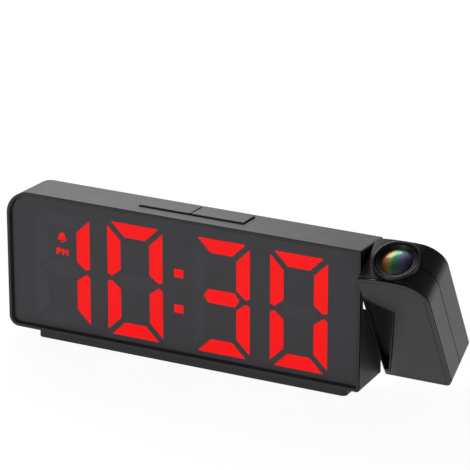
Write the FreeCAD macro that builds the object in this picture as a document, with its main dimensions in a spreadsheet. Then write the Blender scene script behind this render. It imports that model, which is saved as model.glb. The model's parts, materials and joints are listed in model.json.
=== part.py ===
import FreeCAD
import Part

import math
import os

import Sketcher

# A projection alarm clock in millimetres. The rest face is on z = 0, the long
# axis is X, the display looks along -Y. The projector arm hinges on the right
# end and is drawn folded, then turned to its resting angle about the pivot.

V = FreeCAD.Vector
doc = FreeCAD.newDocument("clock")
sheet = doc.addObject("Spreadsheet::Sheet", "Sizes")

SIZES = [
    # Case: overall sizes, with the top falling slightly towards the back.
    ("case_w", 186.4), ("case_d", 25.3), ("foot_h", 5.0), ("case_top", 75.0),
    ("back_fall", 1.55), ("round_top", 12.0), ("round_bottom", 5.0),
    ("wall", 2.0), ("bezel", 1.5), ("seat_depth", 2.2), ("ledge", 1.7),
    ("ledge_t", 1.5), ("roof_t", 2.15),
    # Hinge bay cut in the upper right end of the case.
    ("bay_w", 12.0), ("bay_wall", 1.6), ("bay_set", 3.65),
    ("bay_sill", 45.7), ("bay_back", 34.0), ("bay_roof", 71.6),
    ("pivot_in", 6.75), ("pivot_z", 58.8), ("barrel_r", 6.3), ("bush_r", 5.0),
    ("bush_bore", 3.65), ("shaft_r", 3.6), ("shaft_bore", 2.0),
    ("fit", 0.05), ("end_gap", 0.5), ("seat_gap", 0.3),
    # Window, digits and the block behind them.
    ("window_t", 1.8), ("window_in", 0.4), ("window_gap", 0.1),
    ("seg_depth", 2.4), ("seg_t", 0.6), 
    ("block_depth", 7.8), ("block_side", 13.8), ("block_end", 1.4),
    ("block_up", 2.4), ("block_drop", 6.2), ("digit_w", 29.4),
    ("digit_h", 55.5), ("digit_z", 39.7), ("stroke", 6.9), ("seg_gap", 1.4),
    ("digit_a", -63.7), ("digit_b", -24.5), ("digit_c", 21.4),
    ("digit_d", 61.3), ("dot_x", -1.2), ("dot_size", 4.8),
    ("dot_high", 47.0), ("dot_low", 29.0), ("sign_x", -63.9),
    ("bell_z", 54.9), ("pm_z", 47.3),
    # Boards and what stands on them.
    ("board_t", 1.5), ("board_in", 11.65), ("board_side", 14.2),
    ("board_end", 17.6), ("board_z0", 13.5), ("board_z1", 63.5),
    ("key_h", 2.4), ("top_key_z", 64.2), ("top_key_h", 3.7),
    # Keys on the top.
    ("key_x0", -25.8), ("key_x1", 1.35), ("key_x2", 1.85), ("key_x3", 29.2),
    ("key_front", 9.2), ("key_back", 21.5), ("key_gap", 0.35),
    ("key_rise", 0.9), ("key_lip", 1.0), ("key_flange", 69.9),
    ("key_stem", 68.85),
    # Keys on the back.
    ("set_w", 9.0), ("set_h", 5.5), ("set_z", 60.0), ("set_pitch", 14.0),
    ("set_x", -60.0), ("set_gap", 0.3), ("set_out", 0.7),
    ("set_stem", 5.95), ("set_lip", 1.0),
    # Back cover, cell bay, sounder, power socket, bosses, foot.
    ("cover_gap", 0.15), ("door_x", 36.0), ("door_z", 40.0), ("door_w", 27.0),
    ("door_h", 25.0), ("door_gap", 0.25), ("door_t", 1.6), ("cell_r", 10.0),
    ("cell_t", 3.2), ("cell_in", 6.35), ("holder_t", 6.7),
    ("sound_x", 2.0), ("sound_z", 30.0), ("sound_r", 8.0), ("sound_t", 6.0),
    ("grille_r", 0.9), ("grille_pitch", 4.2),
    ("plug_x", -70.0), ("plug_z", 20.0), ("plug_w", 9.0), ("plug_h", 3.3),
    ("plug_wall", 0.35), ("boss_side", 9.0), ("boss_end", 9.6),
    ("boss_up", 5.0), ("boss_down", 7.4), ("boss_r", 3.9),
    ("pilot_r", 1.0), ("head_r", 2.3), ("head_t", 1.2), ("shank_r", 1.2),
    ("shank_l", 8.0), ("foot_left", 14.6), ("foot_right", 7.7),
    ("foot_set", 2.5), ("foot_lap", 1.3), ("strip_t", 0.8),
    ("strip_in", 1.5),
    # Projector arm, in its folded position.
    ("arm_w", 33.8), ("arm_crown", 1.4), ("arm_round", 12.0),
    ("arm_foot_round", 3.0), ("arm_edge", 1.0), ("arm_plate", 1.2),
    ("plate_gap", 0.3), ("rest_tilt", 30.0), ("lens_x", 15.45),
    ("cut_top", 61.4), ("cut_right", 14.5),
    ("cut_shoulder", 54.6), ("cut_bottom", 8.8), ("cut_toe", 3.4),
    ("tray_depth", 4.45), ("tray_t", 0.6), ("tray_gap", 0.1),
    ("neck_z", 67.5), ("ring_seat", 70.5), ("ring_in", 1.35),
    ("ring_wall", 1.6), ("ring_gap", 0.15), ("ring_base", 70.8),
    ("ring_top", 78.4), ("cell_wall", 1.6), 
    ("lens_base", 73.0), ("lens_t", 3.4), ("lens_bow", 15.0),
    ("cell_low", 66.2), ("cell_high", 77.0), ("lip", 0.9),
    ("tube_wall", 1.2), ("tube_z0", 38.0),
    ("tube_z1", 63.0), ("lamp_z", 36.4), ("panel_z", 57.0),
    ("condenser_z", 49.0),
]
for row, (alias, value) in enumerate(SIZES, start=1):
    sheet.set("A%d" % row, alias)
    sheet.set("B%d" % row, str(value))
    sheet.setAlias("B%d" % row, alias)
doc.recompute()


# Places and sizes that follow from the ones above.
DERIVED = {
    "bay_in": "case_w/2 - bay_w",
    "bay_front": "-case_d/2 + bay_set",
    "pivot_y": "case_d/2 - pivot_in",
    "roof_in": "case_top - back_fall - roof_t",
    "seg_front": "-case_d/2 + seg_depth",
    "block_front": "-case_d/2 + seg_depth + 0.1",
    "block_back": "-case_d/2 + block_depth",
    "block_x0": "-case_w/2 + block_side",
    "block_x1": "bay_in - bay_wall - block_end",
    "block_z0": "foot_h + wall + block_up",
    "block_z1": "case_top - block_drop",
    "board_y": "case_d/2 - board_in",
    "board_x0": "-case_w/2 + board_side",
    "board_x1": "bay_in - bay_wall - board_end",
    "key_y0": "-case_d/2 + key_front",
    "key_y1": "-case_d/2 + key_back",
    "foot_x0": "-case_w/2 + foot_left",
    "foot_x1": "case_w/2 - foot_right",
    "foot_y0": "-case_d/2 + foot_set",
    "foot_y1": "case_d/2 - foot_lap",
    "boss_x0": "-case_w/2 + boss_side",
    "boss_x1": "bay_in - bay_wall - boss_end",
    "boss_z0": "foot_h + boss_up",
    "boss_z1": "case_top - boss_down",
    "cell_y": "case_d/2 - cell_in",
    "tray_floor": "-case_d/2 + tray_depth",
    "tube_r": "case_d/2 - tray_depth - 2*tray_t",
    "ring_r": "case_d/2 - ring_in",
    "lens_cell_r": "ring_r - ring_wall - 2*fit",
    "lens_r": "lens_cell_r - cell_wall",
}


def s(text):
    """Write an expression with the sheet's name before each size in it, and
    with each name that follows from others written out."""
    names = {alias for alias, _ in SIZES}
    out = []
    word = ""
    for char in text + " ":
        if char.isalnum() or char == "_":
            word += char
        else:
            if word in DERIVED:
                out.append("(" + s(DERIVED[word]) + ")")
            else:
                out.append("Sizes." + word if word in names else word)
            word = ""
            out.append(char)
    return "".join(out).strip()


def num(text):
    """The number an expression over the sheet comes to."""
    result = sheet.evalExpression(s(text))
    return float(getattr(result, "Value", result))


def bind(obj, **fields):
    """Tie properties of an object to expressions over the sheet."""
    for name, text in fields.items():
        obj.setExpression(name.replace("__", "."), s(text))
    return obj


ARM_X0 = "(case_w/2 + end_gap)"
ARM_X1 = "(case_w/2 + end_gap + arm_w)"
FRONT = "(-case_d/2)"
BACK = "(case_d/2)"
AXIS_X = "(case_w/2 + end_gap + lens_x)"
TURN = {"x": (V(0, 1, 0), 90), "y": (V(1, 0, 0), -90), "z": (V(0, 0, 1), 0)}


def block(name, x0, x1, y0, y1, z0, z1):
    """A box between six limits."""
    box = doc.addObject("Part::Box", name)
    bind(box, Length="(%s)-(%s)" % (x1, x0), Width="(%s)-(%s)" % (y1, y0),
         Height="(%s)-(%s)" % (z1, z0), Placement__Base__x=x0,
         Placement__Base__y=y0, Placement__Base__z=z0)
    return box


def rod(name, axis, radius, start, end, across, up):
    """A cylinder along x, y or z; across and up are the other two places."""
    cyl = doc.addObject("Part::Cylinder", name)
    vector, angle = TURN[axis]
    cyl.Placement = FreeCAD.Placement(V(), FreeCAD.Rotation(vector, angle))
    base = {"x": (start, across, up), "y": (across, start, up),
            "z": (across, up, start)}[axis]
    bind(cyl, Radius=radius, Height="(%s)-(%s)" % (end, start),
         Placement__Base__x=base[0], Placement__Base__y=base[1],
         Placement__Base__z=base[2])
    return cyl


def cut(name, base, *tools):
    """One object less one or more others."""
    tool = tools[0] if len(tools) == 1 else fuse(name + "_tools", *tools)
    result = doc.addObject("Part::Cut", name)
    result.Base = base
    result.Tool = tool
    return result


def fuse(name, *shapes):
    """Several objects joined to one."""
    result = doc.addObject("Part::MultiFuse", name)
    result.Shapes = list(shapes)
    return result


def group(name, shapes):
    """Several separate solids kept under one name."""
    obj = doc.addObject("Part::Feature", name)
    obj.Shape = Part.makeCompound(shapes)
    obj.Placement = FreeCAD.Placement()
    return obj


def plane_of(body, role):
    """One of the body's own origin planes."""
    return [f for f in body.Origin.OriginFeatures if f.Role == role][0]


def new_sketch(body, name, role, offset):
    """An empty sketch on a body plane, moved along its normal."""
    sketch = body.newObject("Sketcher::SketchObject", name)
    sketch.AttachmentSupport = [(plane_of(body, role), "")]
    sketch.MapMode = "FlatFace"
    sketch.setExpression("AttachmentOffset.Base.z", s(offset))
    return sketch


def fix_point(sketch, geometry, end, x, y):
    """Place one point of a sketch from its origin by two expressions."""
    for kind, text in (("DistanceX", x), ("DistanceY", y)):
        index = sketch.addConstraint(Sketcher.Constraint(
            kind, -1, 1, geometry, end, num(text)))
        sketch.setExpression("Constraints[%d]" % index, s(text))


def outline(body, name, role, offset, *loops):
    """A sketch of closed straight outlines, corners given as expressions."""
    sketch = new_sketch(body, name, role, offset)
    for corners in loops:
        first = sketch.GeometryCount
        spots = [V(num(x), num(y), 0) for x, y in corners]
        count = len(spots)
        for i in range(count):
            sketch.addGeometry(Part.LineSegment(spots[i], spots[(i + 1) % count]))
        for i in range(count):
            sketch.addConstraint(Sketcher.Constraint(
                "Coincident", first + i, 2, first + (i + 1) % count, 1))
        for i, (x, y) in enumerate(corners):
            fix_point(sketch, first + i, 1, x, y)
    return sketch


def circles(body, name, role, offset, *rounds):
    """A sketch of circles, each given as x, y and radius expressions."""
    sketch = new_sketch(body, name, role, offset)
    for x, y, radius in rounds:
        index = sketch.addGeometry(Part.Circle(
            V(num(x), num(y), 0), V(0, 0, 1), num(radius)))
        fix_point(sketch, index, 3, x, y)
        size = sketch.addConstraint(Sketcher.Constraint("Radius", index, num(radius)))
        sketch.setExpression("Constraints[%d]" % size, s(radius))
    return sketch


def box_loop(x0, x1, y0, y1):
    """The four corners of a rectangle."""
    return [(x0, y0), (x1, y0), (x1, y1), (x0, y1)]


def soft_box(body, name, offset, x0, x1, z0, z1, inset):
    """A front view rectangle whose two left corners are round, as the case's
    are, less the inset of this outline from the case's own."""
    sketch = new_sketch(body, name, "XZ_Plane", offset)
    high, low = "(round_top - (%s))" % inset, "(round_bottom - (%s))" % inset
    spots = [("%s + %s" % (x0, low), z0), (x1, z0), (x1, z1),
             ("%s + %s" % (x0, high), z1), (x0, "%s - %s" % (z1, high)),
             (x0, "%s + %s" % (z0, low))]
    flat = [V(num(x), num(z), 0) for x, z in spots]
    for i, j in ((0, 1), (1, 2), (2, 3), (4, 5)):
        sketch.addGeometry(Part.LineSegment(flat[i], flat[j]))
    bends = [(high, flat[3].x, flat[4].y, 0.5, 1.0), (low, flat[0].x, flat[5].y, 1.0, 1.5)]
    for radius, x, z, start, end in bends:
        bend = sketch.addGeometry(Part.ArcOfCircle(
            Part.Circle(V(x, z, 0), V(0, 0, 1), num(radius)),
            start * math.pi, end * math.pi))
        size = sketch.addConstraint(Sketcher.Constraint("Radius", bend, num(radius)))
        sketch.setExpression("Constraints[%d]" % size, s(radius))
    for pair in ((0, 2, 1, 1), (1, 2, 2, 1), (2, 2, 4, 1), (4, 2, 3, 1),
                 (3, 2, 5, 1), (5, 2, 0, 1)):
        sketch.addConstraint(Sketcher.Constraint("Coincident", *pair))
    for line, end, spot in ((0, 1, 0), (1, 1, 1), (2, 1, 2), (2, 2, 3), (3, 1, 4),
                            (3, 2, 5)):
        fix_point(sketch, line, end, *spots[spot])
    return sketch


def pad(body, sketch, length, back=False):
    """Grow a sketch into the body."""
    feature = body.newObject("PartDesign::Pad", sketch.Name + "_pad")
    feature.Profile = sketch
    feature.Reversed = back
    bind(feature, Length=length)
    doc.recompute()
    return feature


def pocket(body, sketch, length, back=False):
    """Cut a sketch out of the body and see that the body lost volume."""
    before = body.Shape.Volume
    feature = body.newObject("PartDesign::Pocket", sketch.Name + "_cut")
    feature.Profile = sketch
    feature.Reversed = back
    bind(feature, Length=length)
    doc.recompute()
    if not body.Shape.Volume < before - 1e-6:
        raise ValueError("nothing was cut by " + sketch.Name)
    return feature


def round_edges(body, name, radius, wanted, kind="PartDesign::Fillet"):
    """Round or bevel the edges that the wanted test picks."""
    tip = body.Tip
    picked = ["Edge%d" % (i + 1) for i, edge in enumerate(tip.Shape.Edges)
              if wanted(edge)]
    feature = body.newObject(kind, name)
    feature.Base = (tip, picked)
    bind(feature, **{"Radius" if kind.endswith("Fillet") else "Size": radius})
    doc.recompute()
    return feature


def along(edge, axis):
    """True for a straight edge that runs along the axis."""
    if len(edge.Vertexes) != 2 or not isinstance(edge.Curve, Part.Line):
        return False
    return abs(abs(edge.Curve.Direction.dot(axis)) - 1) < 1e-6


def corner(body, name, x, z, radius):
    """Round the upright edges of a body that lie along Y at one place."""
    at_x, at_z = num(x), num(z)
    return round_edges(body, name, radius, lambda e: along(e, Y)
                       and abs(e.BoundBox.Center.x - at_x) < 0.02
                       and abs(e.BoundBox.Center.z - at_z) < 0.02)


def new_body(name):
    """An empty body whose label is the node name."""
    body = doc.addObject("PartDesign::Body", name)
    body.Placement = FreeCAD.Placement()
    return body


def tilt(obj):
    """Turn a piece of the arm about the pivot to its resting angle."""
    obj.Placement = FreeCAD.Placement(
        V(), FreeCAD.Rotation(V(1, 0, 0), num("rest_tilt")))
    obj.setExpression("Placement.Rotation.Angle", "Sizes.rest_tilt * 1 deg")
    c, n = "cos(rest_tilt * 1 deg)", "sin(rest_tilt * 1 deg)"
    bind(obj, Placement__Base__y="pivot_y - pivot_y*%s + pivot_z*%s" % (c, n),
         Placement__Base__z="pivot_z - pivot_y*%s - pivot_z*%s" % (n, c))
    return obj


X, Y, Z = V(1, 0, 0), V(0, 1, 0), V(0, 0, 1)
parts = []


# The case is one moulding: a frame open at the front for the window and at
# the back for the cover, with the hinge bay and its barrel at the right end.
case = new_body("case_shell")
parts.append(case)
side = outline(case, "case_side", "YZ_Plane", "-case_w/2",
               [(FRONT, "foot_h"), (BACK, "foot_h"),
                (BACK, "case_top - back_fall"), (FRONT, "case_top")])
pad(case, side, "case_w")
left = -num("case_w/2")
round_edges(case, "case_round_top", "round_top", lambda e: along(e, Y) is False
            and abs(e.BoundBox.XMin - left) < 1e-3 and e.BoundBox.XLength < 1e-3
            and e.BoundBox.YLength > 20 and e.BoundBox.ZMin > 50)
round_edges(case, "case_round_low", "round_bottom", lambda e: along(e, Y)
            and e.BoundBox.XMin < left + 1 and e.BoundBox.ZMax < 10)
round_edges(case, "case_round_end", "arm_edge", lambda e: e.BoundBox.YLength > 20
            and e.BoundBox.XMin > -left - 0.01)
pocket(case, soft_box(case, "window_seat", "case_d/2", "-case_w/2 + bezel",
                      "case_w/2 - bezel", "foot_h + bezel", "case_top - bezel",
                      "bezel"), "seat_depth")
pocket(case, soft_box(case, "front_opening", "case_d/2",
                      "-case_w/2 + bezel + ledge", "bay_in - bay_wall - 0.7",
                      "foot_h + bezel + ledge", "case_top - bezel - ledge",
                      "bezel + ledge"), "seat_depth + ledge_t")
pocket(case, soft_box(case, "hollow", "-case_d/2", "-case_w/2 + wall",
                      "bay_in - bay_wall", "foot_h + wall", "roof_in", "wall"),
       "case_d - seat_depth - ledge_t", back=True)
pocket(case, outline(case, "hollow_low", "XZ_Plane", "-case_d/2", box_loop(
    "bay_in - bay_wall - 1", "case_w/2 - wall", "foot_h + wall",
    "bay_back - wall")), "case_d - seat_depth - ledge_t", back=True)
pocket(case, outline(case, "hinge_bay", "YZ_Plane", "case_w/2",
                     [("bay_front", "bay_sill"), ("case_d/2 + 1", "bay_back"),
                      ("case_d/2 + 1", "bay_roof"), ("bay_front", "bay_roof")]),
       "case_w/2 - bay_in")
pad(case, circles(case, "barrel", "YZ_Plane", "bay_in - bay_wall",
                  ("pivot_y", "pivot_z", "barrel_r")),
    "case_w/2 - end_gap - bay_in + bay_wall")
pocket(case, circles(case, "barrel_bore", "YZ_Plane", "case_w/2",
                     ("pivot_y", "pivot_z", "bush_r")),
       "case_w/2 - bay_in + bay_wall + 1")
BOSSES = [("boss_x0", "boss_z0"), ("boss_x0", "boss_z1"),
          ("boss_x1", "boss_z0"), ("boss_x1", "boss_z1")]
pad(case, circles(case, "bosses", "XZ_Plane", "0",
                  *[(x, z, "boss_r") for x, z in BOSSES]),
    "case_d/2 - wall - 0.05", back=True)
pocket(case, circles(case, "pilots", "XZ_Plane", "-(case_d/2 - wall)",
                     *[(x, z, "pilot_r") for x, z in BOSSES]),
       "shank_l", back=True)
pocket(case, outline(case, "key_well", "XY_Plane", "case_top + 1", box_loop(
    "key_x0 - key_gap", "key_x3 + key_gap", "key_y0 - key_gap",
    "key_y1 + key_gap")), "case_top + 1 - roof_in + 0.5")

# The dark window lies in its seat with a small gap all round.
window = new_body("display_window")
parts.append(window)
pad(window, soft_box(window, "window_face", "case_d/2 - window_in",
                     "-case_w/2 + bezel + window_gap",
                     "case_w/2 - bezel - window_gap",
                     "foot_h + bezel + window_gap",
                     "case_top - bezel - window_gap", "bezel + window_gap"),
    "window_t", back=True)

# Segment outlines: seven mitred strokes round a figure of eight.
HALF_W = num("digit_w/2")
HALF_H = num("digit_h/2")
STROKE = num("stroke")
GAP = num("seg_gap/2")


def segment(letter, centre):
    """Corner points of one stroke of a digit about its centre."""
    m, w, h, t, g = STROKE / 2, HALF_W, HALF_H, STROKE, GAP
    if letter in "ad":
        points = [(-w + g * 1.6, h), (w - g * 1.6, h), (w - t - g * 0.4, h - t),
                  (-w + t + g * 0.4, h - t)]
        if letter == "d":
            points = [(x, -z) for x, z in points]
    elif letter == "g":
        points = [(-w + m + g, 0), (-w + t + g * 0.4, m), (w - t - g * 0.4, m),
                  (w - m - g, 0), (w - t - g * 0.4, -m), (-w + t + g * 0.4, -m)]
    else:
        points = [(w, h - g * 1.6), (w, m * 0.5 + g * 0.2), (w - m * 0.7, g * 1.1),
                  (w - t, m + g * 1.5), (w - t, h - t - g * 1.6)]
        if letter in "ef":
            points = [(-x, z) for x, z in points]
        if letter in "ce":
            points = [(x, -z) for x, z in points]
    spots = [V(centre + x, 0, num("digit_z") + z) for x, z in points]
    return Part.Face(Part.makePolygon(spots + spots[:1]))


def slab(face, front, depth):
    """A flat outline at y = 0 moved to the front place and made thick."""
    moved = face.copy()
    moved.translate(V(0, front, 0))
    return moved.extrude(V(0, depth, 0))


def flat_box(x, z, w, h):
    """A flat rectangle about a centre, at y = 0."""
    spots = [V(x - w / 2, 0, z - h / 2), V(x + w / 2, 0, z - h / 2),
             V(x + w / 2, 0, z + h / 2), V(x - w / 2, 0, z + h / 2)]
    return Part.Face(Part.makePolygon(spots + spots[:1]))


DIGITS = [("digit_a", "bc"), ("digit_b", "abcdef"), ("digit_c", "abcdg"),
          ("digit_d", "abcdef")]
lit, dark = [], []
for place, on in DIGITS:
    for letter in "abcdefg":
        (lit if letter in on else dark).append(segment(letter, num(place)))
dots = [flat_box(num("dot_x"), num(z), num("dot_size"), num("dot_size") * 0.86)
        for z in ("dot_high", "dot_low")]

# A small bell with its clapper, and the two letters of the afternoon mark.
bx, bz = num("sign_x"), num("bell_z")
bell_points = [(-2.6, -1.6), (-1.8, -0.6), (-1.5, 1.0), (-0.6, 2.3), (0.6, 2.3),
               (1.5, 1.0), (1.8, -0.6), (2.6, -1.6)]
bell_spots = [V(bx + x, 0, bz + z) for x, z in bell_points]
bell = [Part.Face(Part.makePolygon(bell_spots + bell_spots[:1])),
        flat_box(bx, bz - 2.4, 1.5, 0.7)]
px, pz = num("sign_x"), num("pm_z")
letter_p = [(-3.2, -1.7), (-2.4, -1.7), (-2.4, -0.5), (-1.1, -0.5), (-0.5, 0.1),
            (-0.5, 1.1), (-1.1, 1.7), (-3.2, 1.7)]
letter_m = [(0.1, -1.7), (0.8, -1.7), (0.8, 0.3), (1.65, -0.9), (2.5, 0.3),
            (2.5, -1.7), (3.2, -1.7), (3.2, 1.7), (2.6, 1.7), (1.65, 0.3),
            (0.7, 1.7), (0.1, 1.7)]
letters = []
for shape in (letter_p, letter_m):
    spots = [V(px + x, 0, pz + z) for x, z in shape]
    letters.append(Part.Face(Part.makePolygon(spots + spots[:1])))

front, thick = num("seg_front"), num("seg_t")
parts.append(group("segments_lit", [slab(f, front, thick) for f in lit]))
parts.append(group("segments_unlit", [slab(f, front, thick) for f in dark]))
parts.append(group("colon_dots", [slab(f, front, thick) for f in dots]))
parts.append(group("alarm_sign", [slab(f, front, thick) for f in bell]))
parts.append(group("afternoon_sign", [slab(f, front, thick) for f in letters]))

# The reflector block is a plate with one light well behind every stroke.
deep = num("block_back - seg_front")
wells = group("wells", [slab(f, front, deep + 1)
                        for f in lit + dark + dots + bell + letters])
block_plate = block("block_plate", "block_x0", "block_x1", "block_front",
                    "block_back", "block_z0", "block_z1")
parts.append(cut("reflector_block", block_plate, wells))

# The display board carries one light chip in every well.
parts.append(block("display_board", "block_x0", "block_x1", "block_back",
                   "block_back + board_t", "block_z0", "block_z1"))
chips = []
for face in lit + dark + dots:
    spot = face.CenterOfMass
    chips.append(Part.makeBox(2.0, 0.9, 1.2, V(spot.x - 1.0, num("block_back") - 0.9,
                                               spot.z - 0.6)))
parts.append(group("segment_lamps", chips))

# The main board stands behind the display board; keys and sounder sit on it.
parts.append(block("main_board", "board_x0", "board_x1", "board_y",
                   "board_y + board_t", "board_z0", "board_z1"))
board_back = num("board_y + board_t")
processor = Part.makeBox(12, 1.4, 12, V(-30, board_back, 36))
crystal = Part.makeBox(8, 2.4, 3.4, V(-48, board_back, 40))
parts.append(group("board_chips", [processor, crystal,
                                   Part.makeBox(5, 1.2, 4, V(-60, board_back, 30))]))
set_keys = [num("set_x + set_pitch * %d" % i) for i in range(5)]
parts.append(group("set_switches", [Part.makeBox(
    6, num("key_h"), 6, V(x - 3, board_back, num("set_z") - 3)) for x in set_keys]))
top_mid = [num("(key_x0 + key_x1)/2"), num("(key_x2 + key_x3)/2")]
parts.append(group("top_switches", [Part.makeBox(
    6, 6, num("top_key_h"), V(x - 3, board_back - 3, num("top_key_z")))
    for x in top_mid]))

# The two broad keys on the top: a plate with a sloping face, a lip that
# keeps it in the well and a stem over its switch.
TOP_SLOPE = "back_fall/case_d"


def top_key(name, x0, x1, lip0, lip1):
    """One top key between two x limits, with lips on the outer side only."""
    key = new_body(name)
    rise = "case_top + key_rise - (%s + case_d/2)*" + TOP_SLOPE
    pad(key, outline(key, name + "_side", "YZ_Plane", x0, [
        ("key_y0", "key_flange + 0.5"), ("key_y1", "key_flange + 0.5"),
        ("key_y1", rise % "key_y1"), ("key_y0", rise % "key_y0")]),
        "%s - %s" % (x1, x0))
    round_edges(key, name + "_soft", "0.4", lambda e: e.BoundBox.ZMin > 73.4
                and e.BoundBox.ZLength < 1)
    pad(key, outline(key, name + "_lip", "XY_Plane", "key_flange", box_loop(
        "%s - %s" % (x0, lip0), "%s + %s" % (x1, lip1), "key_y0 - key_lip",
        "key_y1 + key_lip")), "1.1")
    middle = "(%s + %s)/2" % (x0, x1)
    pad(key, circles(key, name + "_stem", "XY_Plane", "key_stem",
                     (middle, "board_y + board_t", "1.8")),
        "key_flange - key_stem + 0.5")
    return key


parts.append(top_key("snooze_key", "key_x0", "key_x1", "key_lip", "0"))
parts.append(top_key("light_key", "key_x2", "key_x3", "0", "key_lip"))

# The back cover closes the case; it follows the step under the hinge bay.
cover = new_body("back_cover")
parts.append(cover)
pad(cover, outline(cover, "cover_face", "XZ_Plane", "-(case_d/2 - wall)", [
    ("-case_w/2 + wall + cover_gap", "foot_h + wall + cover_gap"),
    ("case_w/2 - wall - cover_gap", "foot_h + wall + cover_gap"),
    ("case_w/2 - wall - cover_gap", "bay_back - wall - cover_gap"),
    ("bay_in - bay_wall - cover_gap", "bay_back - wall - cover_gap"),
    ("bay_in - bay_wall - cover_gap", "roof_in - cover_gap"),
    ("-case_w/2 + wall + cover_gap", "roof_in - cover_gap")]), "wall", back=True)
corner(cover, "cover_round_top", "-case_w/2 + wall + cover_gap",
       "roof_in - cover_gap", "round_top - wall - cover_gap")
corner(cover, "cover_round_low", "-case_w/2 + wall + cover_gap",
       "foot_h + wall + cover_gap", "round_bottom - wall - cover_gap")
openings = [box_loop("set_x + set_pitch*%d - set_w/2 - set_gap" % i,
                     "set_x + set_pitch*%d + set_w/2 + set_gap" % i,
                     "set_z - set_h/2 - set_gap", "set_z + set_h/2 + set_gap")
            for i in range(5)]
openings.append(box_loop("door_x - door_w/2", "door_x + door_w/2",
                         "door_z - door_h/2", "door_z + door_h/2"))
openings.append(box_loop("plug_x - plug_w/2 - cover_gap",
                         "plug_x + plug_w/2 + cover_gap",
                         "plug_z - plug_h/2 - cover_gap",
                         "plug_z + plug_h/2 + cover_gap"))
pocket(cover, outline(cover, "cover_openings", "XZ_Plane", "-case_d/2", *openings),
       "wall", back=True)
grille = [("sound_x + grille_pitch*%.4f" % math.cos(math.radians(60 * k)),
           "sound_z + grille_pitch*%.4f" % math.sin(math.radians(60 * k)),
           "grille_r") for k in range(6)] + [("sound_x", "sound_z", "grille_r")]
pocket(cover, circles(cover, "cover_grille", "XZ_Plane", "-case_d/2", *grille),
       "wall", back=True)
pocket(cover, circles(cover, "cover_screws", "XZ_Plane", "-case_d/2",
                      *[(x, z, "shank_r + fit") for x, z in BOSSES]),
       "wall", back=True)
pocket(cover, circles(cover, "cover_sinks", "XZ_Plane", "-case_d/2",
                      *[(x, z, "head_r + 0.15") for x, z in BOSSES]),
       "head_t", back=True)

# Five small keys for the settings, each with a lip and a stem.
SET_NAMES = ["mode_key", "clock_key", "up_key", "down_key", "alarm_key"]
for i, name in enumerate(SET_NAMES):
    key = new_body(name)
    middle = "(set_x + set_pitch*%d)" % i
    pad(key, outline(key, name + "_cap", "XZ_Plane", "-(case_d/2 - wall - set_gap - 0.5)",
                     box_loop(middle + " - set_w/2", middle + " + set_w/2",
                              "set_z - set_h/2", "set_z + set_h/2")),
        "wall + set_gap + 0.5 + set_out", back=True)
    round_edges(key, name + "_soft", "0.4",
                lambda e: e.BoundBox.YMin > num("case_d/2 + set_out") - 0.01)
    pad(key, outline(key, name + "_lip", "XZ_Plane", "-(case_d/2 - wall - set_gap)",
                     box_loop(middle + " - set_w/2 - set_lip",
                              middle + " + set_w/2 + set_lip",
                              "set_z - set_h/2 - set_lip",
                              "set_z + set_h/2 + set_lip")), "1.0")
    pad(key, circles(key, name + "_stem", "XZ_Plane", "-set_stem",
                     (middle, "set_z", "1.6")),
        "case_d/2 - wall - set_gap - 0.5 - set_stem", back=True)
    parts.append(key)

# The lift-off door over the backup cell, with a finger notch.
door = new_body("cell_door")
parts.append(door)
pad(door, outline(door, "door_face", "XZ_Plane", "-case_d/2", box_loop(
    "door_x - door_w/2 + door_gap", "door_x + door_w/2 - door_gap",
    "door_z - door_h/2 + door_gap", "door_z + door_h/2 - door_gap")), "door_t")
pocket(door, outline(door, "door_notch", "XZ_Plane", "-case_d/2", box_loop(
    "door_x - 5", "door_x + 5", "door_z + door_h/2 - 4.2",
    "door_z + door_h/2 - 2.2")), "0.8", back=True)

# The cell stands in an open holder on the main board.
holder_box = block("holder_box", "door_x - 12.2", "door_x + 12.2",
                   "board_y + board_t", "board_y + board_t + holder_t",
                   "door_z - 12.2", "door_z + 12.2")
holder_round = rod("holder_round", "y", "cell_r + 0.1", "cell_y - 0.2", BACK,
                   "door_x", "door_z")
parts.append(cut("cell_holder", holder_box, holder_round))
parts.append(rod("backup_cell", "y", "cell_r", "cell_y", "cell_y + cell_t",
                 "door_x", "door_z"))

# The sounder is a short can with a port towards the grille.
sound_can = rod("sound_can", "y", "sound_r", "board_y + board_t",
                "board_y + board_t + sound_t", "sound_x", "sound_z")
sound_port = rod("sound_port", "y", "1.2", "board_y + board_t + sound_t - 1.5",
                 "board_y + board_t + sound_t + 1", "sound_x", "sound_z")
parts.append(cut("sounder", sound_can, sound_port))

# The power socket: a thin metal shell with a tongue standing in its mouth.
PLUG = ("plug_x - plug_w/2 + %s", "plug_x + plug_w/2 - %s",
        "plug_z - plug_h/2 + %s", "plug_z + plug_h/2 - %s")
plug = new_body("power_socket")
parts.append(plug)
pad(plug, outline(plug, "plug_outer", "XZ_Plane", "-(board_y + board_t)",
                  box_loop(*[t % "0" for t in PLUG])),
    "case_d/2 - 0.1 - board_y - board_t", back=True)
round_edges(plug, "plug_round", "1.5", lambda e: along(e, Y))
pocket(plug, outline(plug, "plug_mouth", "XZ_Plane", "-(case_d/2 - 0.1)",
                     box_loop(*[t % "plug_wall" for t in PLUG])), "6.4", back=True)
pad(plug, outline(plug, "plug_tongue", "XZ_Plane", "-(case_d/2 - 6.6)", box_loop(
    "plug_x - 3.35", "plug_x + 3.35", "plug_z - 0.35", "plug_z + 0.35")),
    "5.2", back=True)

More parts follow.
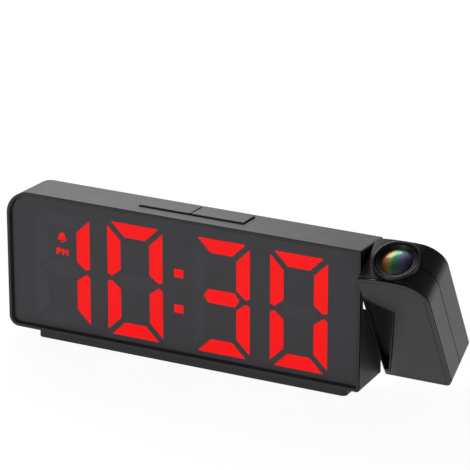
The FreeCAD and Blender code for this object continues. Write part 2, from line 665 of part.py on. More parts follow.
# Foot bar under the case with a rubber strip let into its underside.
foot = new_body("foot_bar")
parts.append(foot)
pad(foot, outline(foot, "foot_plan", "XY_Plane", "strip_t/2", box_loop(
    "foot_x0", "foot_x1", "foot_y0", "foot_y1")), "foot_h - strip_t/2")
round_edges(foot, "foot_ends", "2.5", lambda e: along(e, Z))
pocket(foot, outline(foot, "strip_groove", "XY_Plane", "strip_t/2", box_loop(
    "foot_x0 + strip_in", "foot_x1 - strip_in", "foot_y0 + strip_in",
    "foot_y1 - strip_in")), "strip_t/2", back=True)
strip = new_body("foot_strip")
parts.append(strip)
pad(strip, outline(strip, "strip_plan", "XY_Plane", "0", box_loop(
    "foot_x0 + strip_in + fit", "foot_x1 - strip_in - fit",
    "foot_y0 + strip_in + fit", "foot_y1 - strip_in - fit")), "strip_t")
round_edges(strip, "strip_ends", "1.5", lambda e: along(e, Z))


def screw(x, top, z, head, head_t, shank, length):
    """A pan head screw driven towards the front, with a cross slot."""
    body = Part.makeCylinder(head, head_t, V(x, top - head_t, z), Y)
    body = body.fuse(Part.makeCylinder(shank, length, V(x, top - head_t, z), V(0, -1, 0)))
    for w, h in ((head * 1.2, 0.6), (0.6, head * 1.2)):
        body = body.cut(Part.makeBox(w, 0.8, h, V(x - w / 2, top - 0.7, z - h / 2)))
    return body.removeSplitter()


screw_len = num("shank_l") - 1.5
parts.append(group("case_screws", [
    screw(num(x), num("case_d/2") - 0.1, num(z), num("head_r"), num("head_t") - 0.1,
          num("pilot_r"), screw_len) for x, z in BOSSES]))

# Hinge: a bush in the case barrel, a hollow shaft from the arm through it,
# a washer and a screw that keep the shaft in from inside the case.
bush_out = rod("bush_out", "x", "bush_r - fit", "bay_in - bay_wall",
               "case_w/2 - end_gap", "pivot_y", "pivot_z")
bush_in = rod("bush_in", "x", "bush_bore", "bay_in - bay_wall - 1",
              "case_w/2 + 1", "pivot_y", "pivot_z")
parts.append(cut("hinge_bush", bush_out, bush_in))
shaft_in = "bay_in - bay_wall - seat_gap"
shaft_body = rod("shaft_body", "x", "shaft_r", shaft_in, ARM_X0 + " + wall",
                 "pivot_y", "pivot_z")
shaft_flange = rod("shaft_flange", "x", "shaft_r + 1", ARM_X0 + " + wall",
                   ARM_X0 + " + wall + 1.5", "pivot_y", "pivot_z")
shaft_hole = rod("shaft_hole", "x", "shaft_bore", shaft_in + " - 1",
                 ARM_X1, "pivot_y", "pivot_z")
parts.append(tilt(cut("hinge_shaft", fuse("shaft_joined", shaft_body, shaft_flange),
                      shaft_hole)))
washer_out = rod("washer_out", "x", "4.5", shaft_in + " - 0.8", shaft_in,
                 "pivot_y", "pivot_z")
washer_in = rod("washer_in", "x", "1.3", shaft_in + " - 2", shaft_in + " + 1",
                "pivot_y", "pivot_z")
parts.append(tilt(cut("shaft_washer", washer_out, washer_in)))
bolt_head = rod("bolt_head", "x", "3.2", shaft_in + " - 2.6", shaft_in + " - 0.8",
                "pivot_y", "pivot_z")
bolt_body = rod("bolt_body", "x", "1.25", shaft_in + " - 0.8", shaft_in + " + 9",
                "pivot_y", "pivot_z")
bolt_slot = block("bolt_slot", shaft_in + " - 3", shaft_in + " - 2",
                  "pivot_y - 2.4", "pivot_y + 2.4", "pivot_z - 0.4", "pivot_z + 0.4")
parts.append(tilt(cut("shaft_screw", fuse("bolt_joined", bolt_head, bolt_body),
                      bolt_slot)))


# Arm mouldings share one outline with a slightly bowed top edge.
def arm_outline(body, name, offset):
    """The arm's front outline as a sketch: three lines and a bowed top."""
    sketch = new_sketch(body, name, "XZ_Plane", offset)
    x0, x1, z0, z1 = num(ARM_X0), num(ARM_X1), num("foot_h"), num("case_top")
    crown = num("arm_crown")
    corners = [(ARM_X0, "case_top"), (ARM_X0, "foot_h"), (ARM_X1, "foot_h"),
               (ARM_X1, "case_top")]
    spots = [V(x0, z1, 0), V(x0, z0, 0), V(x1, z0, 0), V(x1, z1, 0)]
    for i in range(3):
        sketch.addGeometry(Part.LineSegment(spots[i], spots[i + 1]))
    arc = sketch.addGeometry(Part.Arc(spots[3], V((x0 + x1) / 2, z1 + crown, 0), spots[0]))
    start = sketch.getPoint(arc, 1)
    ends = (1, 2) if (start - spots[3]).Length < 1e-6 else (2, 1)
    sketch.addConstraint(Sketcher.Constraint("Coincident", 0, 2, 1, 1))
    sketch.addConstraint(Sketcher.Constraint("Coincident", 1, 2, 2, 1))
    sketch.addConstraint(Sketcher.Constraint("Coincident", 2, 2, arc, ends[0]))
    sketch.addConstraint(Sketcher.Constraint("Coincident", arc, ends[1], 0, 1))
    for i in range(3):
        fix_point(sketch, i, 1, *corners[i])
    fix_point(sketch, 2, 2, *corners[3])
    bow = "arm_w*arm_w/(8*arm_crown) + arm_crown/2"
    size = sketch.addConstraint(Sketcher.Constraint("Radius", arc, num(bow)))
    sketch.setExpression("Constraints[%d]" % size, s(bow))
    return sketch


def arm_rounds(body, name):
    """Round the four long corners of an arm moulding."""
    mid_x, mid_z = num(ARM_X0 + " + arm_w/2"), 40
    for tag, radius, right, high in (
            ("a", "arm_round", True, True), ("b", "arm_foot_round", True, False),
            ("c", "arm_edge", False, True), ("d", "arm_edge", False, False)):
        round_edges(body, name + tag, radius, lambda e: along(e, Y)
                    and (e.BoundBox.XMin > mid_x) == right
                    and (e.BoundBox.ZMin > mid_z) == high)


def cut_corners(inset, left):
    """The outline of the dark hollow in the arm's face, pushed outwards by the
    inset; it runs out through the arm's left side."""
    top = "cut_top + 1.4*(%s)" % inset
    low = "cut_bottom - (%s)" % inset
    loop = [(left, top), (left, low), (ARM_X0 + " + cut_toe + (%s)" % inset, low),
            (ARM_X0 + " + cut_right + (%s)" % inset, "cut_shoulder + (%s)/2" % inset)]
    if left.endswith("- 1"):
        loop.append((ARM_X0, top))
    return loop


arm_plate = new_body("arm_face_plate")
parts.append(arm_plate)
pad(arm_plate, arm_outline(arm_plate, "plate_face", "case_d/2"), "arm_plate", back=True)
arm_rounds(arm_plate, "plate_round_")
pocket(arm_plate, outline(arm_plate, "plate_hollow", "XZ_Plane", "case_d/2",
                          cut_corners("0", ARM_X0 + " - 1")), "arm_plate")
RING_WELL = (AXIS_X, "0", "ring_r + ring_gap")
POSTS = [(ARM_X0 + " + 6.5", "foot_h + 5.5"), (ARM_X1 + " - 5.5", "foot_h + 5.5"),
         (ARM_X1 + " - 5.5", "case_top - 17")]


def neck_cuts(body, name):
    """The well for the focus ring and the bore for the lens cell."""
    pocket(body, circles(body, name + "_ring", "XY_Plane", "case_top + 2", RING_WELL),
           "case_top + 2 - ring_seat")
    pocket(body, circles(body, name + "_bore", "XY_Plane", "ring_seat + 1",
                         (AXIS_X, "0", "lens_cell_r + ring_gap")),
           "ring_seat + 1 - cell_low + 1.3")


front_shell = new_body("arm_front_shell")
parts.append(front_shell)
pad(front_shell, arm_outline(front_shell, "front_face", "0"),
    "case_d/2 - arm_plate - plate_gap")
arm_rounds(front_shell, "front_round_")
pocket(front_shell, outline(front_shell, "front_hollow", "XZ_Plane", "0", box_loop(
    ARM_X0 + " + wall", ARM_X1 + " - wall", "foot_h + wall", "neck_z")),
    "case_d/2 - arm_plate - plate_gap - wall", back=True)
pocket(front_shell, outline(front_shell, "front_window", "XZ_Plane",
                            "case_d/2 - arm_plate - plate_gap",
                            cut_corners("0", ARM_X0 + " - 1")),
       "case_d/2 - arm_plate - plate_gap + tray_floor + tray_t + tray_gap")
pad(front_shell, circles(front_shell, "front_posts", "XZ_Plane", "0",
                         *[(x, z, "2.6") for x, z in POSTS[1:]]),
    "case_d/2 - arm_plate - plate_gap - 0.5")
pocket(front_shell, circles(front_shell, "front_pilots", "XZ_Plane", "0",
                            *[(x, z, "pilot_r") for x, z in POSTS[1:]]),
       "6", back=True)
neck_cuts(front_shell, "front_neck")

rear_shell = new_body("arm_rear_shell")
parts.append(rear_shell)
pad(rear_shell, arm_outline(rear_shell, "rear_face", "0"), "case_d/2", back=True)
arm_rounds(rear_shell, "rear_round_")
pocket(rear_shell, outline(rear_shell, "rear_hollow", "XZ_Plane", "0", box_loop(
    ARM_X0 + " + wall", ARM_X1 + " - wall", "foot_h + wall", "neck_z")),
    "case_d/2 - wall")
pad(rear_shell, circles(rear_shell, "rear_posts", "XZ_Plane", "0",
                        *[(x, z, "2.6") for x, z in POSTS[1:]]),
    "case_d/2 - 0.5", back=True)
pocket(rear_shell, circles(rear_shell, "rear_holes", "XZ_Plane", "-case_d/2",
                           *[(x, z, "pilot_r + fit") for x, z in POSTS[1:]]),
       "case_d/2", back=True)
pocket(rear_shell, circles(rear_shell, "rear_sinks", "XZ_Plane", "-case_d/2",
                           *[(x, z, "2.2") for x, z in POSTS[1:]]),
       "3", back=True)
neck_cuts(rear_shell, "rear_neck")
pocket(rear_shell, circles(rear_shell, "shaft_entry", "YZ_Plane", ARM_X0 + " + wall",
                           ("pivot_y", "pivot_z", "shaft_r")), "wall")
round_back = num("case_d/2")

# The dark tray that lines the hollow in the arm's face.
tray = new_body("arm_tray")
parts.append(tray)
pad(tray, outline(tray, "tray_outer", "XZ_Plane", "case_d/2",
                  cut_corners("-tray_gap", ARM_X0)),
    "case_d/2 + tray_floor + tray_t", back=True)
pocket(tray, outline(tray, "tray_inner", "XZ_Plane", "case_d/2",
                     cut_corners("-tray_gap - tray_t", ARM_X0 + " + tray_t")),
       "case_d/2 + tray_floor")

# Light path inside the arm: lamp on its board, condenser, image panel, tube.
tube_out = rod("tube_out", "z", "tube_r", "tube_z0", "tube_z1", AXIS_X, "0")
tube_in = rod("tube_in", "z", "tube_r - tube_wall", "tube_z0 - 1", "tube_z1 + 1",
              AXIS_X, "0")
parts.append(cut("lamp_tube", tube_out, tube_in))
parts.append(fuse("lamp_board", block(
    "lamp_plate", AXIS_X + " - 7.5", AXIS_X + " + 7.5", "-6.9", "6.9", "lamp_z",
    "tube_z0"), block("lamp_plug", AXIS_X + " - 3", AXIS_X + " + 3", "-2", "2",
                      "lamp_z - 2", "lamp_z + 0.5")))
lamp_base = block("lamp_base", AXIS_X + " - 1.8", AXIS_X + " + 1.8", "-1.8", "1.8",
                  "tube_z0", "tube_z0 + 1")
lamp_dome = doc.addObject("Part::Sphere", "lamp_dome")
bind(lamp_dome, Radius="1.5", Placement__Base__x=AXIS_X, Placement__Base__z="tube_z0 + 1.5")
parts.append(fuse("projector_lamp", lamp_base, lamp_dome))


def lens_shape(name, radius, base, thick, bow):
    """A flat-backed lens: a cylinder kept inside a large sphere."""
    disc = rod(name + "_disc", "z", radius, base, "%s + %s" % (base, thick), AXIS_X, "0")
    ball = doc.addObject("Part::Sphere", name + "_ball")
    bind(ball, Radius=bow, Placement__Base__x=AXIS_X,
         Placement__Base__z="%s + %s - %s" % (base, thick, bow))
    lens = doc.addObject("Part::Common", name)
    lens.Base = disc
    lens.Tool = ball
    return lens


parts.append(lens_shape("condenser_lens", "tube_r - tube_wall - fit", "condenser_z",
                        "3.6", "9"))
parts.append(fuse("image_panel", block(
    "panel_glass", AXIS_X + " - 3.9", AXIS_X + " + 3.9", "-3.9", "3.9", "panel_z",
    "panel_z + 1.1"), block("panel_edge", AXIS_X + " - 3.9", AXIS_X + " + 3.9",
                            "-3.9", "3.2", "panel_z - 0.7", "panel_z + 0.2")))
for obj in parts[-5:] + [arm_plate, front_shell, rear_shell, tray]:
    tilt(obj)

# Focus ring with grip flats, the lens cell it drives and the lens in it.
ring = new_body("focus_ring")
parts.append(ring)
pad(ring, circles(ring, "ring_plan", "XY_Plane", "ring_base",
                  (AXIS_X, "0", "ring_r")), "ring_top - ring_base")
pocket(ring, circles(ring, "ring_hole", "XY_Plane", "ring_top",
                     (AXIS_X, "0", "ring_r - ring_wall")), "ring_top - ring_base")
round_edges(ring, "ring_soft", "0.5", lambda e: e.BoundBox.ZMin > num("ring_top") - 0.01)
cell_out = rod("cell_out", "z", "lens_cell_r", "cell_low", "cell_high", AXIS_X, "0")
cell_hole = rod("cell_hole", "z", "lens_r - lip", "cell_low - 1", "cell_high + 1",
                AXIS_X, "0")
cell_seat = rod("cell_seat", "z", "lens_r + fit", "lens_base", "cell_high + 1",
                AXIS_X, "0")
parts.append(cut("lens_cell", cell_out, cell_hole, cell_seat))
parts.append(lens_shape("projector_lens", "lens_r", "lens_base", "lens_t", "lens_bow"))
for obj in parts[-3:]:
    tilt(obj)

# Two screws close the arm from the back.
arm_screws = group("arm_screws", [
    screw(num(x), num("case_d/2") - 1.8, num(z), 2.0, 1.2, num("pilot_r"), 13)
    for x, z in POSTS[1:]])
tilt(arm_screws)
parts.append(arm_screws)

doc.recompute()
bad = [o.Label for o in doc.Objects
       if "Invalid" in o.State or "Error" in o.State]
if bad:
    raise ValueError("objects in error: " + ", ".join(bad))
os.makedirs("parts", exist_ok=True)
for obj in parts:
    if obj.Shape.isNull() or not obj.Shape.isValid():
        raise ValueError("bad shape: " + obj.Label)
for obj in parts:
    obj.Shape.exportStep("parts/" + obj.Label + ".step")
    box = obj.Shape.BoundBox
    print("%-18s solids %2d volume %9.1f  x %.1f %.1f  y %.1f %.1f  z %.1f %.1f" % (
        obj.Label, len(obj.Shape.Solids), obj.Shape.Volume, box.XMin, box.XMax,
        box.YMin, box.YMax, box.ZMin, box.ZMax))
print("parts", len(parts))
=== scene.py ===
import json
import math

import bpy
import numpy as np
from mathutils import Matrix, Vector


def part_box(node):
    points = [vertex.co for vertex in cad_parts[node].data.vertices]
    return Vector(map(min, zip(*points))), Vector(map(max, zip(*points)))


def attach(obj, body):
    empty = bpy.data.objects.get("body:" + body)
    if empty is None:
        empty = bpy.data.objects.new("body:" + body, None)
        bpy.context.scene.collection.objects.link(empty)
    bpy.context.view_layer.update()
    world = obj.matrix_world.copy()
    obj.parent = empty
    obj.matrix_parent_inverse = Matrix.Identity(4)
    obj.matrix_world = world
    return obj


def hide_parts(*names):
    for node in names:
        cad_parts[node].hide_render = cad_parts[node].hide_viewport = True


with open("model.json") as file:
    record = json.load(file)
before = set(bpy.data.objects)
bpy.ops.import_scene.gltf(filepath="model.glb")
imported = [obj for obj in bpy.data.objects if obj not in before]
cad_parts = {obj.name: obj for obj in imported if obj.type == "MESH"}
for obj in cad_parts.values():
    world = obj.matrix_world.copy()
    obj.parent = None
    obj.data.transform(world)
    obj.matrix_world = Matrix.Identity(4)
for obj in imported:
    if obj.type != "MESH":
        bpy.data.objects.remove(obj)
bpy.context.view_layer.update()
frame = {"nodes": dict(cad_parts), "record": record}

# Case. The shell is an injection moulding in dark grey ABS, with a fine skin eroded
# into the tool. A narrow band of painted shade, dark and without shine, parts its
# front frame from the rest, and a small wall closes the back of the hinge bay, so
# that no light shows beside the arm.


def tint(code):
    """A six digit sRGB code as a linear colour: each part p of it is p / 12.92 up to
    0.04045, and ((p + 0.055) / 1.055) to the power 2.4 above that."""
    part = np.array([int(code[i:i + 2], 16) for i in (0, 2, 4)]) / 255
    linear = np.where(part <= 0.04045, part / 12.92, ((part + 0.055) / 1.055) ** 2.4)
    return (*linear.tolist(), 1.0)


def add(owner, kind, *in_order, settings=None, **by_name):
    """Add one shader node with its settings. Values go to its inputs in order or by
    name, with a low line for a space: an output is linked, None is passed over, and
    anything else is set."""
    node = owner.node_tree.nodes.new(kind)
    for name, value in (settings or {}).items():
        setattr(node, name, value)
    given = list(enumerate(in_order))
    given += [(name.replace("_", " "), value) for name, value in by_name.items()]
    for key, value in given:
        if isinstance(value, bpy.types.NodeSocket):
            owner.node_tree.links.new(value, node.inputs[key])
        elif value is not None:
            node.inputs[key].default_value = value
    return node


def blank(name):
    """A new material with no nodes yet."""
    material = bpy.data.materials.new(name)
    material.use_nodes = True
    material.node_tree.nodes.clear()
    return material


PATCHES_PER_M = 90.0    # the gloss drifts over patches of about 11 mm
GLOSS_DRIFT = 0.05
PLAIN_SHINE = 0.5       # the level at which the IOR alone sets the shine


def plastic(name, code, rough, grain_mm=None, depth_mm=0.0, line=None):
    """Moulded plastic: an even colour whose roughness drifts a little, with a bump of
    the given grain where the tool was eroded. A line is a direction, a place along it,
    half a width and a colour: points whose dot product with the direction lies within
    half a width of the place take that colour and lose their shine. It paints the
    shade in grooves and seams as a dark band."""
    material = blank(name)
    place = add(material, "ShaderNodeTexCoord").outputs["Object"]
    patches = add(material, "ShaderNodeTexNoise", Vector=place, Scale=PATCHES_PER_M,
                  Detail=3.0)
    gloss = add(material, "ShaderNodeMapRange", Value=patches.outputs["Fac"],
                To_Min=rough - GLOSS_DRIFT, To_Max=rough + GLOSS_DRIFT)
    colour, shine, normal = tint(code), PLAIN_SHINE, None
    if grain_mm:
        pores = add(material, "ShaderNodeTexNoise", Vector=place,
                    Scale=1000.0 / grain_mm, Detail=2.0)
        normal = add(material, "ShaderNodeBump", Height=pores.outputs["Fac"],
                     Strength=0.35, Distance=depth_mm / 1000).outputs["Normal"]
    if line:
        way, at, half, dark = line
        along = add(material, "ShaderNodeVectorMath", place, tuple(way),
                    settings={"operation": "DOT_PRODUCT"})
        inside = add(material, "ShaderNodeMath", along.outputs["Value"], at, half,
                     settings={"operation": "COMPARE"}).outputs["Value"]
        colour = add(material, "ShaderNodeMix", settings={"data_type": "RGBA"},
                     Factor=inside, A=colour, B=tint(dark)).outputs["Result"]
        shine = add(material, "ShaderNodeMath", PLAIN_SHINE, inside,
                    settings={"operation": "SUBTRACT"}).outputs["Value"]
    skin = add(material, "ShaderNodeBsdfPrincipled", Base_Color=colour,
               Roughness=gloss.outputs["Result"], Specular_IOR_Level=shine,
               Normal=normal)
    add(material, "ShaderNodeOutputMaterial", Surface=skin.outputs["BSDF"])
    return material


def dress(material, *names):
    """Give frame nodes or new pieces one material."""
    for name in names:
        coat = bpy.data.objects[name].data.materials
        coat.clear()
        coat.append(material)


def soften(radius_mm, *names):
    """Round the edges of frame nodes that turn by more than 35 degrees, in three
    steps. The solids' triangles are welded and joined where they lie flat first, and
    large faces keep an even shade."""
    for name in names:
        modifiers = frame["nodes"][name].modifiers
        modifiers.new("weld", "WELD").merge_threshold = 1e-6
        flat = modifiers.new("flat", "DECIMATE")
        flat.decimate_type = "DISSOLVE"
        flat.angle_limit = math.radians(0.4)
        edge = modifiers.new("edge", "BEVEL")
        edge.width = radius_mm / 1000
        edge.segments = 3
        edge.limit_method = "ANGLE"
        edge.angle_limit = math.radians(35)
        edge.harden_normals = True
        even = modifiers.new("even", "WEIGHTED_NORMAL")
        even.keep_sharp = True
        even.weight = 90


def new_piece(name, points, faces, material):
    """A new object at the origin, from points in metres and lists of their numbers."""
    mesh = bpy.data.meshes.new(name)
    mesh.from_pydata(points, [], faces)
    piece = bpy.data.objects.new(name, mesh)
    bpy.context.scene.collection.objects.link(piece)
    dress(material, name)
    return piece


def plates(name, outlines, material, front_mm, depth_mm):
    """Upright plates from outlines of x and z in mm, each at a front place and again
    behind it. Of an outline's points k = 0 to n - 1, the caps are 0 to n - 1 and
    2n - 1 down to n, and the side faces are k, k + 1, n + k + 1, n + k."""
    points, faces, first = [], [], 0
    for outline in outlines:
        sheet = np.insert(np.array(outline, dtype=float), 1, front_mm, axis=1)
        count = len(sheet)
        k = np.arange(count)
        following = np.roll(k, -1)
        points.append(np.vstack([sheet, sheet + (0, depth_mm, 0)]) / 1000)
        faces += [(first + k).tolist(), (first + count + k[::-1]).tolist()]
        faces += (first + np.stack([k, following, count + following, count + k],
                                   axis=1)).tolist()
        first += 2 * count
    return new_piece(name, np.vstack(points).tolist(), faces, material)


# Eroded ABS gives the eye an even dark grey with a soft, broken shine. The real grain
# is near 0.1 mm; it is drawn at 0.28 mm so that it shows.
CASE_GREY, ERODED_MM = "252427", 0.28
# Painted shade: a black band without shine, a little behind the front edge of the case.
SHADE_BAND_BEHIND_MM, SHADE_BAND_HALF_MM = 0.45, 0.42
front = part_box("case_shell")[0].y
painted_groove_shade = ((0, 1, 0), front + SHADE_BAND_BEHIND_MM / 1000, SHADE_BAND_HALF_MM / 1000, "050505")
case_skin = plastic("abs_spark_eroded", CASE_GREY, 0.42, ERODED_MM, 0.02, painted_groove_shade)
dress(case_skin, "case_shell")
soften(0.4, "case_shell")

bay_left, bay_right, bay_low, bay_roof = 81.0, 93.0, 51.0, 71.8   # in mm
WALL_FRONT_MM, WALL_MM = 10.6, 1.8
bay_outline = [(bay_left, bay_low), (bay_right, bay_low), (bay_right, bay_roof),
               (bay_left, bay_roof)]
closing = plates("bay_back_wall", [bay_outline], case_skin, WALL_FRONT_MM, WALL_MM)
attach(closing, "clock")

# Back cover, cell door and foot. Flat ABS mouldings from a duller tool than the
# case's; four screws hold the cover, and a moulded rubber strip is glued under the
# foot bar, so that the clock does not slide.

# The cover gives the eye a darker and flatter grey than the case, the strip a dead
# black.
cover_skin = plastic("abs_spark_eroded_dark", "1F1E21", 0.5, ERODED_MM, 0.02)
dress(cover_skin, "back_cover", "cell_door", "foot_bar")
dress(plastic("rubber_moulded", "101010", 0.75), "foot_strip")
soften(0.2, "back_cover", "cell_door")
soften(0.3, "foot_bar")

# Keys. Two broad ones stand in the case's roof and five small ones in the cover, over
# their switches. All are moulded in ABS, as is the holder of the cell.

# A finer grain than the case's gives the eye a slightly lighter and silkier grey.
KEY_GRAIN_MM = 0.22
dress(plastic("abs_moulded_key", "29282B", 0.38, KEY_GRAIN_MM, 0.012), "snooze_key",
      "light_key", "mode_key", "clock_key", "up_key", "down_key", "alarm_key",
      "cell_holder")
soften(0.2, "snooze_key", "light_key")

# Boards. Two glass fibre laminates with a green mask carry black moulded chips, a
# round sounder and one lamp chip a stroke. The reflector block is moulded in ABS and
# stands before the display's board, with a well for each lamp.

# The mask gives the eye a satin green, moulded epoxy a dull black, cast epoxy a warm
# amber with a clear shine, and the block a flat grey.
dress(plastic("laminate_green_mask", "0F3A20", 0.35), "main_board", "display_board")
dress(plastic("epoxy_moulded_black", "121212", 0.45), "board_chips", "sounder")
dress(plastic("epoxy_cast_amber", "8A7440", 0.3), "segment_lamps", "projector_lamp")
dress(plastic("abs_moulded_block", "3A383B", 0.7), "reflector_block")


# Metal parts. Screws and washer are zinc plated steel and the hollow shaft is turned
# from steel, in a moulded acetal bush. Switches and socket are stamped, the cell's can
# is nickel plated, and the projector's lamp sits on rolled aluminium.
def metal(name, code, rough):
    """Bare or plated metal with an even gloss: it gives the eye the room's light and
    dark, blurred by its roughness."""
    material = blank(name)
    skin = add(material, "ShaderNodeBsdfPrincipled", Base_Color=tint(code),
               Metallic=1.0, Roughness=rough)
    add(material, "ShaderNodeOutputMaterial", Surface=skin.outputs["BSDF"])
    return material


dress(metal("steel_zinc_plated", "6C6D70", 0.35), "case_screws", "arm_screws",
      "shaft_washer", "shaft_screw")
dress(metal("steel_turned", "A7A8AA", 0.28), "hinge_shaft")
dress(plastic("acetal_natural", "D9D6CC", 0.35), "hinge_bush")
dress(metal("steel_stamped", "B4B4B4", 0.4), "set_switches", "top_switches",
      "power_socket")
dress(metal("nickel_plated", "C9C8C4", 0.22), "backup_cell")
dress(metal("aluminium_rolled", "C8C9CA", 0.4), "lamp_board")

# Display. Each digit has seven mitred strokes, frosted acrylic diffusers that lie
# before the reflector block: the lit ones glow red, the rest stay grey. Two square
# dots part hours and minutes, and a bell and an afternoon sign stand at the left.
STROKE_HALF_W, STROKE_HALF_H = 14.7, 28.75    # from a digit's middle to its edges
BAR, MITRE = 6.9, 2.2                         # a stroke's width, and what a mitre cuts
TIP_IN, SHOULDER_IN = 5.4, 0.9                # the middle stroke's tips and shoulders
UPRIGHT_FOOT, POINT_DOWN = 2.1, 1.1           # where an upright ends near the middle
POINT_SHARE, SLOPE_SHARE = 0.3, 0.55          # of the width: its point and its slope


def stroke(letter):
    """Corners in mm of one stroke about the digit's middle. Those at the top and the
    bottom (a, d) are trapezoids, the middle one (g) is a hexagon, and the uprights
    have five corners, with ends that follow their neighbours' mitres. All are drawn
    at the top right and mirrored."""
    w, h = STROKE_HALF_W, STROKE_HALF_H
    inner_w, inner_h = w - BAR, h - BAR
    if letter in "ad":
        points = [(-w + MITRE, h), (w - MITRE, h), (inner_w - MITRE, inner_h),
                  (-inner_w + MITRE, inner_h)]
    elif letter == "g":
        tip, shoulder = w - TIP_IN, inner_w - SHOULDER_IN
        points = [(-tip, 0), (-shoulder, BAR / 2), (shoulder, BAR / 2), (tip, 0),
                  (shoulder, -BAR / 2), (-shoulder, -BAR / 2)]
    else:
        points = [(w, h - MITRE), (w, UPRIGHT_FOOT), (w - POINT_SHARE * BAR, POINT_DOWN),
                  (inner_w, POINT_DOWN + SLOPE_SHARE * BAR), (inner_w, inner_h - MITRE)]
    side = -1 if letter in "ef" else 1
    flip = -1 if letter in "dce" else 1
    return np.array(points) * (side, flip)


def glow(name, code, strength):
    """A lit diffuser: it gives the eye one flat, even colour."""
    material = blank(name)
    light = add(material, "ShaderNodeEmission", Color=tint(code), Strength=strength)
    add(material, "ShaderNodeOutputMaterial", Surface=light.outputs["Emission"])
    return material


# The tinted window lets this share of the light through on each of its two faces, so
# the strokes are brighter by that much. Frosted acrylic gives the eye an even tone
# without a shine.
WINDOW_PASS, LIT_LEVEL = 0.75, 0.94
lit_red = glow("diffuser_lit_red", "FF0508", LIT_LEVEL / WINDOW_PASS ** 2)
unlit_grey = plastic("acrylic_frosted_unlit", "86838A", 0.8)

FILM_MM, FILM_DEEP_MM = -10.62, 0.08          # the film's front face, and its thickness
PRINT_MM, PRINT_DEEP_MM = FILM_MM - 0.08, 0.07
DIGIT_MIDDLE_MM = 38.6
SHOWN = [(-63.7, "bc"), (-24.5, "abcdef"), (21.4, "abcdg"), (61.3, "abcdef")]
lit = [stroke(c) + (x, DIGIT_MIDDLE_MM) for x, on in SHOWN for c in on]
unlit = [stroke(c) + (x, DIGIT_MIDDLE_MM) for x, on in SHOWN
         for c in "abcdefg" if c not in on]
for name, outlines, print_skin, node in (
        ("digit_strokes_lit", lit, lit_red, "segments_lit"),
        ("digit_strokes_unlit", unlit, unlit_grey, "segments_unlit")):
    strokes = plates(name, outlines, print_skin, PRINT_MM, PRINT_DEEP_MM)
    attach(strokes, "clock")
    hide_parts(node)

# The dots and the two signs are the solids' own shapes, brought forward to the print.
for node in ("colon_dots", "alarm_sign", "afternoon_sign"):
    name = node + "_printed"
    forward = frame["nodes"][node].data.copy()
    forward.name = name
    forward.transform(Matrix.Translation((0, PRINT_MM / 1000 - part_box(node)[0].y, 0)))
    sign = bpy.data.objects.new(name, forward)
    bpy.context.scene.collection.objects.link(sign)
    dress(lit_red, name)
    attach(sign, "clock")
    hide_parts(node)

# Window. A pane of smoke tinted acrylic, cast and polished, let into the case's front
# frame, with a bevelled border in black that stands for a printed edge and for the
# painted shade in the gap round the pane. Behind it lies a film printed an even
# grey, before which only the strokes stand out.
low, high = (corner * 1000 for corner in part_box("display_window"))
CORNER_WIDE, CORNER_NARROW = 10.4, 3.4


def pane(inset):
    """The window's outline in mm, less an inset: a rectangle whose left corners are
    arcs (cos a, sin a) * radius about their middles, wide at the top, where a runs
    from 90 to 180 degrees, and narrow at the bottom, from 180 to 270."""
    left, right = low.x + inset, high.x - inset
    base, top = low.z + inset, high.z - inset
    wide, narrow = CORNER_WIDE - inset, CORNER_NARROW - inset
    up = np.linspace(math.pi / 2, math.pi, 13)
    down = np.linspace(math.pi, 1.5 * math.pi, 9)
    return np.vstack([
        (right, top),
        np.stack([np.cos(up), np.sin(up)], axis=1) * wide + (left + wide, top - wide),
        np.stack([np.cos(down), np.sin(down)], axis=1) * narrow
        + (left + narrow, base + narrow),
        (right, base)])


# Printed film gives the eye a flat grey.
FILM_GAP_MM = 0.5
film = plates("display_film", [pane(FILM_GAP_MM)],
              plastic("film_printed_grey", "7F7C83", 0.8), FILM_MM, FILM_DEEP_MM)
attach(film, "clock")

# Smoked acrylic dims what lies behind it and adds a very weak mirror.
MIRROR_SHARE = 0.012
window_skin = blank("acrylic_smoke_polished")
passing = add(window_skin, "ShaderNodeBsdfTransparent",
              Color=(WINDOW_PASS, WINDOW_PASS, WINDOW_PASS, 1.0))
mirror = add(window_skin, "ShaderNodeBsdfGlossy", Color=tint("FFFFFF"), Roughness=0.1)
mixed = add(window_skin, "ShaderNodeMixShader", MIRROR_SHARE, passing.outputs["BSDF"],
            mirror.outputs["BSDF"])
add(window_skin, "ShaderNodeOutputMaterial", Surface=mixed.outputs["Shader"])
WINDOW_MM, WINDOW_GAP_MM, BORDER_AND_GAP_SHADE_MM = 1.5, 0.15, 0.28
window = plates("smoke_window", [pane(WINDOW_GAP_MM)], window_skin, low.y, WINDOW_MM)
# Painted shade: the black bevel stands for a printed edge and for the dark gap round the
# pane.
window.data.materials.append(plastic("ink_black_and_gap_shade", "050505", 0.5))
border = window.modifiers.new("border", "BEVEL")
border.width = BORDER_AND_GAP_SHADE_MM / 1000
border.segments = 2
border.limit_method = "ANGLE"
border.angle_limit = math.radians(60)
border.material = 1
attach(window, "clock")
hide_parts("display_window")

# Arm. Two half shells and a face plate, moulded in ABS from a smoother tool than the
# case's, held by two screws. The shells meet at the middle of the arm's depth, where
# a black band paints the shade in their seam, and a black strip paints the shade of
# a fine groove between the plate's flat and its raised rim.
turn = [j for j in frame["record"]["behaviour"]["joints"] if j["name"] == "ring_turn"][0]
top_middle = np.array(turn["pos_m"])           # the middle of the ring's top face
axis = np.array(turn["axis"])
axis = axis * np.sign(axis[2])                 # the optical axis, upwards
across = np.array([1.0, 0.0, 0.0])             # along the case
round_to = np.cross(axis, across)              # through the arm's depth, to the back

